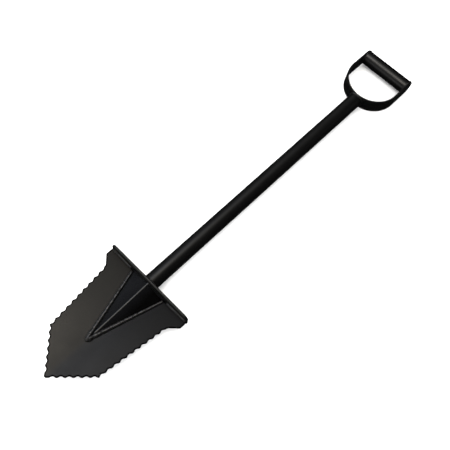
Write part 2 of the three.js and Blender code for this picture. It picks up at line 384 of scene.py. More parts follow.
def settle(piece: bpy.types.Object) -> None:
    """Turn a piece's modifiers into a plain mesh and remove them.

    Args:
        piece: The piece, with its modifiers set.
    """
    evaluated = piece.evaluated_get(bpy.context.evaluated_depsgraph_get())
    mesh = bpy.data.meshes.new_from_object(evaluated)
    piece.modifiers.clear()
    old = piece.data
    piece.data = mesh
    bpy.data.meshes.remove(old)
    mesh.name = piece.name


def finish_piece(piece: bpy.types.Object, slot: Slot, replaced: Iterable[str]) -> bpy.types.Object:
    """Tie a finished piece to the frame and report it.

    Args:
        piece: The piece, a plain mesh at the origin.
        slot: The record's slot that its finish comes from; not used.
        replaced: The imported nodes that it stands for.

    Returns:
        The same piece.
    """
    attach(piece, BODY)
    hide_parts(*replaced)
    log.info("%s: %d faces, for %s", piece.name, len(piece.data.polygons), ", ".join(replaced))
    return piece


def run_tree(piece: bpy.types.Object, tree: bpy.types.NodeTree, values: dict[str, Any]) -> None:
    """Run a Geometry Nodes tree on a piece and keep the result as its mesh.

    Args:
        piece: The piece whose mesh goes in.
        tree: The tree.
        values: The tree's inputs by name.
    """
    modifier = piece.modifiers.new(tree.name, "NODES")
    modifier.node_group = tree
    sockets = {item.name: item.identifier for item in tree.interface.items_tree
               if item.in_out == "INPUT"}
    for label, value in values.items():
        modifier[sockets[label]] = value
    settle(piece)


def mirrored(steps: Iterable[float]) -> list[float]:
    """Give the same steps on both sides of zero, in order."""
    return sorted({sign * step for step in steps for sign in (1, -1)})


def round_corner(before: Point, corner: Point, after: Point, radius: float,
                 segments: int = 8) -> list[Point]:
    """Replace the corner between two straight lines by an arc.

    Args:
        before: A point on the line that comes in.
        corner: The corner.
        after: A point on the line that goes out.
        radius: The arc's radius.
        segments: Straight pieces in the arc.

    Returns:
        The arc's points, from the first line to the second.
    """
    middle = Vector(corner)
    back = (Vector(before) - middle).normalized()
    ahead = (Vector(after) - middle).normalized()
    half = back.angle(ahead) / 2
    centre = middle + (back + ahead).normalized() * (radius / math.sin(half))
    first = middle + back * (radius / math.tan(half)) - centre
    last = middle + ahead * (radius / math.tan(half)) - centre
    sweep = math.atan2(first.x * last.y - first.y * last.x, first.dot(last))
    points = []
    for i in range(segments + 1):
        turn = Matrix.Rotation(sweep * i / segments, 2)
        points.append(tuple(centre + turn @ first))
    return points


def rounded_outline(corners: Sequence[Point], radius: float, segments: int) -> list[Point]:
    """Round every corner of a closed outline.

    Args:
        corners: The outline's corners in order.
        radius: The arcs' radius.
        segments: Straight pieces in each arc.

    Returns:
        The outline's points.
    """
    count = len(corners)
    return [point for i, corner in enumerate(corners) for point in round_corner(
        corners[i - 1], corner, corners[(i + 1) % count], radius, segments)]


@dataclass
class Plate:
    """A piece cut from flat stock, with rounded rims, drawn flat before it is bent.

    Attributes:
        outline: The closed outline.
        thickness: The stock's thickness.
        rim: Radius of the rounded rims.
        wall_mark: How far the walls between the rims count as cut edges.
        support: Width of the narrow band that keeps the flat faces flat beside a rim.
        fade: Share of that band over which the look of a cut edge fades out.
        phases: For each outline point, where it lies in a tooth, in radians.
        inwards: For each outline point, the direction in which a tooth is cut.
    """

    outline: list[Point]
    thickness: float
    rim: float = 0.5 * MM
    wall_mark: float = 0.0
    support: float = 0.5 * MM
    fade: float = 0.15
    phases: list[float] = field(default_factory=list)
    inwards: list[Point] = field(default_factory=list)

    RIM_STEPS = 4

    def _mitres(self) -> list[Vector]:
        """Find how each outline point moves as the outline shrinks by one unit.

        Returns:
            The direction and reach of each point.
        """
        points = [Vector(point) for point in self.outline]
        count = len(points)
        area = sum(points[i - 1].x * points[i].y - points[i].x * points[i - 1].y
                   for i in range(count))
        sign = 1 if area > 0 else -1
        normals = []
        for i in range(count):
            edge = (points[(i + 1) % count] - points[i]).normalized()
            normals.append(Vector((-edge.y, edge.x)) * sign)
        return [(normals[i - 1] + normals[i]) / (1 + normals[i - 1].dot(normals[i]))
                for i in range(count)]

    def _levels(self) -> list[tuple[float, float, float]]:
        """Work out the rings of points that round the rims.

        Returns:
            Inset, depth and rim value of each ring, from the front face to the back.
        """
        wall = min(self.support, (self.thickness - 2 * self.rim) / 3)
        band = self.rim + self.support
        front = [(band, 0.0, 0.0), (band - self.fade * self.support, 0.0, 1.0)]
        for step in range(self.RIM_STEPS + 1):
            angle = math.pi / 2 * step / self.RIM_STEPS
            inset = self.rim * (1 - math.sin(angle))
            front.append((inset, self.rim * (1 - math.cos(angle)), 1.0))
        front.append((0.0, self.rim + wall, self.wall_mark))
        back = [(inset, self.thickness - depth, rim) for inset, depth, rim in reversed(front)]
        return front + back

    def flat(self, name: str) -> bpy.types.Object:
        """Build the flat plate, its front face at height 0 and its back below.

        Args:
            name: The piece's name.

        Returns:
            The piece, with its attributes on the points.
        """
        mesh = bpy.data.meshes.new(name)
        work = bmesh.new()
        mitres, levels = self._mitres(), self._levels()
        rings = [[work.verts.new((u + mitre.x * inset, v + mitre.y * inset, -depth))
                  for (u, v), mitre in zip(self.outline, mitres)] for inset, depth, _ in levels]
        count = len(self.outline)
        for upper, lower in zip(rings, rings[1:]):
            for i in range(count):
                j = (i + 1) % count
                work.faces.new((upper[i], upper[j], lower[j], lower[i]))
        work.faces.new(rings[0])
        work.faces.new(rings[-1])
        bmesh.ops.recalc_face_normals(work, faces=work.faces)
        work.to_mesh(mesh)
        work.free()
        rim = mesh.attributes.new(RIM, "FLOAT", "POINT")
        rim.data.foreach_set("value", [level[2] for level in levels for _ in self.outline])
        if self.phases:
            phase = mesh.attributes.new(PHASE, "FLOAT", "POINT")
            phase.data.foreach_set("value", self.phases * len(levels))
            inward = mesh.attributes.new(INWARD, "FLOAT_VECTOR", "POINT")
            flat = [value for x, y in self.inwards for value in (x, y, 0.0)]
            inward.data.foreach_set("vector", flat * len(levels))
        return object_from(name, mesh)


def bend(piece: bpy.types.Object, place: Place, cuts_u: Iterable[float] = (),
         cuts_v: Iterable[float] = ()) -> None:
    """Cut a flat plate across where it bends and move its points into place.

    Args:
        piece: The flat plate.
        place: Gives the place of a point of the flat plate.
        cuts_u: Where the plate is cut across its first direction.
        cuts_v: Where the plate is cut across its second direction.
    """
    work = bmesh.new()
    work.from_mesh(piece.data)
    for direction, cuts in (((1, 0, 0), cuts_u), ((0, 1, 0), cuts_v)):
        for cut in cuts:
            everything = [*work.verts, *work.edges, *work.faces]
            bmesh.ops.bisect_plane(work, geom=everything, dist=1e-7,
                                   plane_co=Vector(direction) * cut, plane_no=direction)
    bmesh.ops.triangulate(work, faces=[face for face in work.faces if len(face.verts) > 4])
    for vert in work.verts:
        vert.co = place(*vert.co)
    bmesh.ops.recalc_face_normals(work, faces=work.faces)
    work.to_mesh(piece.data)
    work.free()
    piece.data.shade_smooth()


def dress_edges(piece: bpy.types.Object, coat: bpy.types.Material) -> None:
    """Give the rims and walls of a plate a darker coat of their own, painted shade along the edges.

    Args:
        piece: The bent plate, already dressed in its main coat.
        coat: The coat of its cut edges.
    """
    piece.data.materials.append(coat)
    rim = piece.data.attributes[RIM].data
    for face in piece.data.polygons:
        if all(rim[corner].value > FULL_RIM for corner in face.vertices):
            face.material_index = len(piece.data.materials) - 1


def turned(name: str, profile: Sequence[Point], place: Place, segments: int = 96) -> bpy.types.Object:
    """Spin a closed profile into a ring-shaped solid.

    Args:
        name: The piece's name.
        profile: Points as (distance along the axis, radius).
        place: Gives the place of (along, across, up).
        segments: Steps round the axis.

    Returns:
        The piece, smooth except at its square edges.
    """
    work = bmesh.new()
    rings = []
    for i in range(segments):
        angle = 2 * math.pi * i / segments
        rings.append([work.verts.new(place(along, radius * math.cos(angle), radius * math.sin(angle)))
                      for along, radius in profile])
    for i in range(segments):
        here, after = rings[i], rings[(i + 1) % segments]
        for j in range(len(profile)):
            k = (j + 1) % len(profile)
            work.faces.new((here[j], here[k], after[k], after[j]))
    bmesh.ops.recalc_face_normals(work, faces=work.faces)
    mesh = bpy.data.meshes.new(name)
    work.to_mesh(mesh)
    work.free()
    mesh.shade_smooth()
    mesh.set_sharp_from_angle(angle=math.radians(40))
    return object_from(name, mesh)


# --- trees that repeat a shape -----------------------------------------------------------


RIPPLE_POINTS = 8.0  # points along each ripple of a bead
WIDTH_NOISE, PATH_NOISE = 0.35, 0.45  # noise scales in a bead's width and path, per ripple
FLARE_POWER = 1.6  # how fast a bead's thicker start thins out
THINNEST = 0.02  # radius at the very end of a bead, as a share of its radius


def dressed_tree(nodes: Nodes, geometry: bpy.types.NodeSocket, given: Any,
                 result: Any) -> bpy.types.NodeTree:
    """End a tree by making its instances real and setting its material.

    Args:
        nodes: The tree's nodes.
        geometry: The finished geometry.
        given: The tree's inputs, Material among them.
        result: The tree's outputs.

    Returns:
        The tree.
    """
    real = nodes.add("GeometryNodeRealizeInstances", {0: geometry})
    dressed = nodes.add("GeometryNodeSetMaterial",
                        {"Geometry": real.outputs[0], "Material": given["Material"]})
    return nodes.put_out(dressed.outputs[0], result["Geometry"])


def toothed_edge_tree() -> bpy.types.NodeTree:
    """Tree that cuts round teeth into the edge of a flat plate.

    Returns:
        A tree whose inputs are the plate, the teeth's depth and the plate's material.
    """
    nodes, given, result = new_group(
        "toothed_edge", "GeometryNodeTree",
        {"Geometry": (GEOMETRY, None), "Depth": (FLOAT, 2.6 * MM), "Material": (MATERIAL, None)},
        {"Geometry": GEOMETRY},
    )
    phase = nodes.add("GeometryNodeInputNamedAttribute", {"Name": PHASE}, data_type="FLOAT")
    inward = nodes.add("GeometryNodeInputNamedAttribute", {"Name": INWARD}, data_type="FLOAT_VECTOR")
    wave = nodes.math("COSINE", phase.outputs["Attribute"])
    share = nodes.math("MULTIPLY_ADD", wave, -0.5, 0.5)
    depth = nodes.math("MULTIPLY", share, given["Depth"])
    offset = nodes.scaled(inward.outputs["Attribute"], depth)
    moved = nodes.add("GeometryNodeSetPosition", {"Geometry": given["Geometry"], "Offset": offset})
    return dressed_tree(nodes, moved.outputs[0], given, result)


def weld_bead_tree() -> bpy.types.NodeTree:
    """Tree that lays a rippled weld bead along a path of edges.

    Returns:
        A tree whose inputs are the path, the bead's sizes, a seed and the bead's material.
    """
    nodes, given, result = new_group(
        "weld_bead", "GeometryNodeTree",
        {
            "Geometry": (GEOMETRY, None), "Radius": (FLOAT, 3 * MM), "Pitch": (FLOAT, 2.4 * MM),
            "Ripple": (FLOAT, 0.2), "Crescent": (FLOAT, 0.8 * MM), "Wobble": (FLOAT, 0.55),
            "Stray": (FLOAT, 0.0), "Taper": (FLOAT, 3 * MM), "Flare": (FLOAT, 0.0),
            "Round Steps": (INTEGER, 16), "Seed": (FLOAT, 0.0), "Material": (MATERIAL, None),
        },
        {"Geometry": GEOMETRY},
    )
    path = nodes.add("GeometryNodeMeshToCurve", {"Mesh": given["Geometry"]}).outputs[0]
    step = nodes.math("DIVIDE", given["Pitch"], RIPPLE_POINTS)
    path = nodes.add("GeometryNodeResampleCurve", {"Curve": path, "Length": step},
                     mode="LENGTH").outputs[0]
    along = nodes.add("GeometryNodeCaptureAttribute", {"Geometry": path}, domain="POINT")
    along.capture_items.new("FLOAT", "Along")
    along_value = nodes.add("GeometryNodeSplineParameter").outputs["Length"]
    nodes.tree.links.new(along_value, along.inputs["Along"])

    total = nodes.add("GeometryNodeSplineLength").outputs["Length"]
    to_end = nodes.math("MINIMUM", along_value, nodes.math("SUBTRACT", total, along_value))
    share = nodes.math("DIVIDE", to_end, nodes.math("MAXIMUM", given["Taper"], TINY), clamp=True)
    gone = nodes.math("SUBTRACT", 1.0, share)
    nose = nodes.math("SQRT", nodes.math("SUBTRACT", 1.0, nodes.math("MULTIPLY", gone, gone)))
    endless = nodes.math("LESS_THAN", given["Taper"], TINY)
    nose = nodes.math("MAXIMUM", nodes.math("MAXIMUM", nose, endless), THINNEST)
    count = nodes.math("ADD", nodes.math("DIVIDE", along_value, given["Pitch"]), given["Seed"])
    wander = nodes.noise(WIDTH_NOISE, 2.0, W=count)
    spread = nodes.math("MULTIPLY", nodes.math("SUBTRACT", wander, 0.5), given["Wobble"])
    width = nodes.math("ADD", spread, 1.0)
    left = nodes.math("SUBTRACT", 1.0, nodes.math("DIVIDE", along_value, total))
    flare = nodes.math("MULTIPLY", nodes.math("POWER", left, FLARE_POWER), given["Flare"])
    width = nodes.math("MULTIPLY", width, nodes.math("ADD", flare, 1.0))
    radius = nodes.math("MULTIPLY", nodes.math("MULTIPLY", nose, width), given["Radius"])

    drift = nodes.noise(PATH_NOISE, 1.0, "Color", W=count)
    centred = nodes.add("ShaderNodeVectorMath", {0: drift, 1: (0.5, 0.5, 0.5)},
                        operation="SUBTRACT").outputs["Vector"]
    line = nodes.add("GeometryNodeSetPosition", {
        "Geometry": along.outputs["Geometry"], "Offset": nodes.scaled(centred, given["Stray"]),
    }).outputs[0]

    section = nodes.add("GeometryNodeCurvePrimitiveCircle",
                        {"Resolution": given["Round Steps"], "Radius": 1.0}).outputs["Curve"]
    around = nodes.add("GeometryNodeCaptureAttribute", {"Geometry": section}, domain="POINT")
    around.capture_items.new("FLOAT", "Around")
    nodes.tree.links.new(nodes.add("GeometryNodeSplineParameter").outputs["Factor"],
                         around.inputs["Around"])
    bead = nodes.add("GeometryNodeCurveToMesh", {
        "Curve": line, "Profile Curve": around.outputs["Geometry"],
        "Scale": radius, "Fill Caps": True,
    }).outputs[0]

    lag = nodes.math("COSINE", nodes.math("MULTIPLY", around.outputs["Around"], 2 * math.pi))
    swept = nodes.math("MULTIPLY_ADD", lag, given["Crescent"], along.outputs["Along"])
    wave = nodes.math("SINE", nodes.math("MULTIPLY", nodes.math("DIVIDE", swept, given["Pitch"]),
                                         math.pi))
    hollow = nodes.math("SUBTRACT", nodes.math("ABSOLUTE", wave), 1.0)
    depth = nodes.math("MULTIPLY", nodes.math("MULTIPLY", hollow, given["Ripple"]),
                       nodes.math("MULTIPLY", given["Radius"], nose))
    normal = nodes.add("GeometryNodeInputNormal").outputs[0]
    moved = nodes.add("GeometryNodeSetPosition",
                      {"Geometry": bead, "Offset": nodes.scaled(normal, depth)}).outputs[0]
    smooth = nodes.add("GeometryNodeSetShadeSmooth", {"Geometry": moved}).outputs[0]
    return dressed_tree(nodes, smooth, given, result)


# --- places from the frame ---------------------------------------------------------------


@dataclass(frozen=True)
class Head:
    """Where the blade stands against the step plate.

    Attributes:
        face: X of the step plate's blade side.
        axis: Height of the tube's axis.
        crease_drop: How far the crease starts below the tube's axis.
        lift: Angle by which the blade rises towards its tip.
        fold_rise: Rise of each half for each metre out from the crease.
        crease: Half the width over which the fold is rounded.
    """

    face: float
    axis: float
    crease_drop: float = 6.8 * MM
    lift: float = math.radians(2.75)
    fold_rise: float = 0.066
    crease: float = 5 * MM

    @classmethod
    def from_frame(cls) -> "Head":
        """Read the step plate and the tube from the frame."""
        low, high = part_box("shaft_tube")
        return cls(face=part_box("step_plate")[0].x, axis=(low.z + high.z) / 2)

    def front(self, across: float) -> float:
        """Height of the blade's front face at a distance from the crease, in the blade's frame."""
        return self.fold_rise * math.hypot(across, self.crease)

    def place(self, along: float, across: float, up: float) -> Vector:
        """Move a point from the blade's frame into the scene.

        Args:
            along: Its distance from the step plate, towards the D-handle.
            across: Its distance from the crease.
            up: Its height over the crease.

        Returns:
            The point in the scene.
        """
        sine, cosine = math.sin(self.lift), math.cos(self.lift)
        return Vector((
            self.face + along * cosine + up * sine,
            across,
            self.axis - self.crease_drop - along * sine + up * cosine,
        ))

    def local(self, point: Vector) -> Vector:
        """Move a point of the scene into the blade's frame.

        Args:
            point: The point.

        Returns:
            Its distances along, across and up, as place takes them.
        """
        sine, cosine = math.sin(self.lift), math.cos(self.lift)
        x, up = point.x - self.face, point.z - self.axis + self.crease_drop
        return Vector((x * cosine - up * sine, point.y, x * sine + up * cosine))


# --- sub-assemblies ----------------------------------------------------------------------


def press_on(piece: bpy.types.Object, head: Head, sunk: float) -> None:
    """Flatten the underside of a bead that lies on the blade, so that it stays in the plate.

    Args:
        piece: The bead.
        head: Where the blade stands.
        sunk: How far the bead goes into the blade.
    """
    for vert in piece.data.vertices:
        along, across, up = head.local(vert.co)
        vert.co = head.place(along, across, max(up, head.front(across) - sunk))


@dataclass
class Blade:
    """Pointed digging blade with toothed edges, folded along its crease.

    Lengths along the blade are measured from the step plate towards the tip.
    """

    head: Head
    half_width: float
    length: float = 239 * MM
    thickness: float = 3.2 * MM
    shoulder: Point = (174 * MM, 65 * MM)
    notch: Point = (31 * MM, 83 * MM)
    notch_radius: float = 8 * MM
    ear_length: float = 15.2 * MM
    ear_radius: float = 3 * MM
    tip_radius: float = 4 * MM
    tooth_pitch: float = 14.1 * MM
    tooth_depth: float = 2.6 * MM
    side_plain: float = 3.3 * MM
    point_plain: float = 7.5 * MM
    points_per_tooth: int = 20
    rim: float = 1.5 * MM
    # the band beside the rim also takes the darker edge coat, which widens the painted shade along the
    # blade's edges
    rim_band: float = 1.3 * MM

    ARC_STEPS = 12
    FOLD_CUTS = (0, 0.4, 0.8, 1.3, 2, 3.2, 5.5)  # cuts beside the crease, in its half widths

    def _toothed_run(self, start: Point, end: Point, plain: float) -> list[ToothPoint]:
        """Points of an edge that starts on a tooth's crest and ends with a plain stretch.

        Args:
            start: Where the teeth start.
            end: The end of the plain stretch.
            plain: The plain stretch's length.

        Returns:
            Each point with its phase in a tooth and the direction in which the tooth is cut.
        """
        run = Vector(end) - Vector(start)
        toothed = run.length - plain
        teeth = max(1, round(toothed / self.tooth_pitch))
        unit = run.normalized()
        inward = Vector((-unit.y, unit.x))
        if inward.y > 0:
            inward = -inward
        count = teeth * self.points_per_tooth
        return [(tuple(Vector(start) + unit * (toothed * i / count)),
                 2 * math.pi * i / self.points_per_tooth, tuple(inward)) for i in range(count + 1)]

    def _half(self) -> list[ToothPoint]:
        """Draw one half of the outline.

        Returns:
            Its points from the step plate round to the tip.
        """
        start, tip, ear = (0.0, self.half_width), (self.length, 0.0), (self.ear_length, self.half_width)
        other_shoulder = (self.shoulder[0], -self.shoulder[1])

        def plain(points: Iterable[Point]) -> list[ToothPoint]:
            """Mark points of an edge that has no teeth."""
            return [(point, 0.0, (0.0, 0.0)) for point in points]

        tip_arc = round_corner(self.shoulder, tip, other_shoulder, self.tip_radius, self.ARC_STEPS)
        middle = self.ARC_STEPS // 2
        return [
            *plain([start]),
            *plain(round_corner(start, ear, self.notch, self.ear_radius)),
            *plain(round_corner(ear, self.notch, self.shoulder, self.notch_radius, self.ARC_STEPS)),
            *reversed(self._toothed_run(self.shoulder, self.notch, self.side_plain)),
            *self._toothed_run(self.shoulder, tip, self.point_plain)[1:],
            *plain(tip_arc[:middle]),
            *plain([(tip_arc[middle][0], 0.0)]),
        ]

    def _front(self, along: float, across: float, up: float) -> Vector:
        """Fold and place a point of the flat blade."""
        return self.head.place(along, across, up + self.head.front(across))

    def build(self, coat: bpy.types.Material, edge_coat: bpy.types.Material, slot: Slot,
              tree: bpy.types.NodeTree) -> None:
        """Cut the teeth into the flat blade, then fold it.

        Args:
            coat: The blade's finish.
            edge_coat: The darker finish of its cut edges, painted shade along the edges.
            slot: The record's slot of both finishes.
            tree: The tree that cuts the teeth.
        """
        half = self._half()
        other = [((d, -w), phase, (x, -y)) for (d, w), phase, (x, y) in reversed(half[:-1])]
        whole = [((-d, w), phase, (-x, y)) for (d, w), phase, (x, y) in half + other]
        plate = Plate([point for point, _, _ in whole], self.thickness, rim=self.rim,
                      wall_mark=1.0, support=self.rim_band,
                      phases=[phase for _, phase, _ in whole],
                      inwards=[inward for _, _, inward in whole])
        piece = plate.flat("blade_plate")
        run_tree(piece, tree, {"Depth": self.tooth_depth, "Material": coat})
        bend(piece, self._front, cuts_v=mirrored(self.head.crease * cut for cut in self.FOLD_CUTS))
        dress_edges(piece, edge_coat)
        finish_piece(piece, slot, ["blade"])


@dataclass
class StepPlate:
    """Flat bar across the top of the blade, pushed on with a foot."""

    corner_radius: float = 10 * MM
    corner_steps: int = 10
    rim: float = 1.5 * MM

    def build(self, coat: bpy.types.Material, slot: Slot) -> None:
        """Cut the bar's outline and set it upright.

        Args:
            coat: The bar's finish.
            slot: The record's slot of that finish.
        """
        low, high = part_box("step_plate")
        corners = [(low.y, low.z), (high.y, low.z), (high.y, high.z), (low.y, high.z)]
        outline = rounded_outline(corners, self.corner_radius, self.corner_steps)
        piece = Plate(outline, high.x - low.x, rim=self.rim).flat("step_bar")
        piece.data.materials.append(coat)
        bend(piece, lambda across, up, depth: Vector((low.x - depth, across, up)))
        finish_piece(piece, slot, ["step_plate"])


@dataclass
class Gusset:
    """Folded triangular sheet over the crease, its ridge running up to the tube's height."""

    head: Head
    length: float = 147 * MM
    half_width: float = 41.7 * MM
    height: float = 17.1 * MM
    thickness: float = 3.2 * MM
    corner_radius: float = 0.8 * MM
    corner_steps: int = 6
    rim: float = 0.3 * MM
    ridge: float = 2.1 * MM
    length_cuts: int = 12
    sunk: float = 0.2 * MM

    RIDGE_CUTS = (0, 0.33, 0.67, 1.0, 1.25)  # cuts beside the ridge, in its half widths

    @property
    def slope(self) -> float:
        """Fall of each face for each metre out from the ridge."""
        return (self.height - self.head.fold_rise * self.half_width) / self.half_width

    def roof(self, along: float, across: float) -> float:
        """Find the height of the outside, rounded over the ridge.

        Args:
            along: Distance from the step plate towards the tip.
            across: Distance from the crease.

        Returns:
            The height over the crease.
        """
        share = max(0.0, 1 - along / self.length)
        out = abs(across)
        if out < self.ridge:
            out = (out * out / self.ridge + self.ridge) / 2
        return self.height * share - self.slope * out

    def _place(self, along: float, across: float, depth: float) -> Vector:
        """Fold and place a point of the flat sheet, its underside cut off at the blade.

        Args:
            along: Distance along the sheet, below 0 towards the tip.
            across: Distance from the crease.
            depth: Height over the sheet's outside, below 0 inside the sheet.

        Returns:
            The point in the scene.
        """
        floor = self.head.front(across) - self.sunk
        up = max(self.roof(-along, across) + depth, floor)
        return self.head.place(along, across, up)

    def build(self, coat: bpy.types.Material, slot: Slot) -> None:
        """Cut the triangle and fold it.

        Args:
            coat: The sheet's finish.
            slot: The record's slot of that finish.
        """
        corners = [(0.0, self.half_width), (-self.length, 0.0), (0.0, -self.half_width)]
        outline = rounded_outline(corners, self.corner_radius, self.corner_steps)
        piece = Plate(outline, self.thickness, rim=self.rim, support=self.rim).flat("gusset_sheet")
        piece.data.materials.append(coat)
        bend(piece, self._place,
             cuts_u=[-self.length * i / self.length_cuts for i in range(1, self.length_cuts)],
             cuts_v=mirrored(self.ridge * cut for cut in self.RIDGE_CUTS))
        finish_piece(piece, slot, ["gusset"])


@dataclass
class Shaft:
    """Round tube from the step plate to the D-handle."""

    wall: float = 2 * MM
    steps: int = 24
    sunk: float = 0.3 * MM

    def build(self, coat: bpy.types.Material, slot: Slot) -> None:
        """Spin the tube along X.

        Args:
            coat: The tube's finish.
            slot: The record's slot of that finish.
        """
        low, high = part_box("shaft_tube")
        axis, radius = (low.z + high.z) / 2, (high.z - low.z) / 2
        start, end = low.x - self.sunk, high.x
        outer = [(start + (end - start) * i / self.steps, radius) for i in range(self.steps + 1)]
        inner = [(along, radius - self.wall) for along, _ in reversed(outer)]
        piece = turned("shaft", outer + inner,
                       lambda along, across, up: Vector((along, across, axis + up)))
        piece.data.materials.append(coat)
        finish_piece(piece, slot, ["shaft_tube"])


@dataclass
class DHandle:
    """Bent flat bar with a round grip between its arms."""

    thickness: float = 4 * MM
    wall: float = 2 * MM
    rim: float = 0.6 * MM
    bend_steps: int = 56
    end_steps: int = 24
    sunk: float = 0.3 * MM

    def __post_init__(self) -> None:
        """Read the bar's and the grip's places from the frame."""
        self.low, self.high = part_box("handle_strap")
        self.grip_low, self.grip_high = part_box("grip_tube")
        self.axis = (self.low.z + self.high.z) / 2
        self.half_width = (self.high.z - self.low.z) / 2
        self.outside = self.high.y
        self.bend_centre = self.low.x + self.outside
        self.grip_centre = (self.grip_low.x + self.grip_high.x) / 2

    @property
    def middle_radius(self) -> float:
        """Radius of the bend at the middle of the bar's thickness."""
        return self.outside - self.thickness / 2

    @property
    def arm(self) -> float:
        """Length of each straight arm."""
        return self.high.x - self.bend_centre

    @property
    def half_round(self) -> float:
        """Length of the bend at the middle of the bar's thickness."""
        return math.pi * self.middle_radius

    def _place(self, along: float, across: float, depth: float) -> Vector:
        """Bend and place a point of the flat bar.

        Args:
            along: Distance from the end of the right arm.
            across: Distance from the middle of the bar's width.
            depth: Height over the bar's outside, below 0 inside the bar.

        Returns:
            The point in the scene.
        """
        out = self.middle_radius + depth + self.thickness / 2
        up = self.axis + across
        if along < self.arm:
            return Vector((self.high.x - along, -out, up))
        if along > self.arm + self.half_round:
            return Vector((self.bend_centre + along - self.arm - self.half_round, out, up))
        angle = (along - self.arm) / self.middle_radius
        return Vector((self.bend_centre - out * math.sin(angle), -out * math.cos(angle), up))

    def build_bar(self, coat: bpy.types.Material, slot: Slot) -> None:
        """Cut the bar with its round ends and bend it.

        Args:
            coat: The bar's finish.
            slot: The record's slot of that finish.
        """
        total, radius, steps = 2 * self.arm + self.half_round, self.half_width, self.end_steps
        arcs = []
        for centre, first in ((radius, math.pi / 2), (total - radius, -math.pi / 2)):
            arcs += [(centre + radius * math.cos(first + math.pi * i / steps),
                      radius * math.sin(first + math.pi * i / steps)) for i in range(steps + 1)]
        piece = Plate(arcs, self.thickness, rim=self.rim).flat("handle_bar")
        piece.data.materials.append(coat)
        cuts = [self.arm + self.half_round * i / self.bend_steps for i in range(self.bend_steps + 1)]
        bend(piece, self._place, cuts_u=cuts)
        finish_piece(piece, slot, ["handle_strap"])

    def build_grip(self, coat: bpy.types.Material, slot: Slot) -> None:
        """Spin the grip along Y.

        Args:
            coat: The grip's finish.
            slot: The record's slot of that finish.
        """
        radius, inner = self.half_width, self.half_width - self.wall
        low, high = self.grip_low.y - self.sunk, self.grip_high.y + self.sunk
        piece = turned("grip", [(low, radius), (high, radius), (high, inner), (low, inner)],
                       lambda along, across, up: Vector((self.grip_centre + across, along,
                                                         self.axis + up)))
        piece.data.materials.append(coat)
        finish_piece(piece, slot, ["grip_tube"])


@dataclass(frozen=True)
class Bead:
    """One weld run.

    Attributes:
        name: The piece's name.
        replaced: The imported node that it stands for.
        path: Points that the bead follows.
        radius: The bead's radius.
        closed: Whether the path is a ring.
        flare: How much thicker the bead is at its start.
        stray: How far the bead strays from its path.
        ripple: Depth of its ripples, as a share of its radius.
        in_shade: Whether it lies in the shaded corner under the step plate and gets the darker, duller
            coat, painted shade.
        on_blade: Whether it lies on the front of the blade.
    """

    name: str
    replaced: str
    path: list[Vector]
    radius: float
    closed: bool = False
    flare: float = 0.0
    stray: float = 0.0
    ripple: float = 0.2
    in_shade: bool = False
    on_blade: bool = False


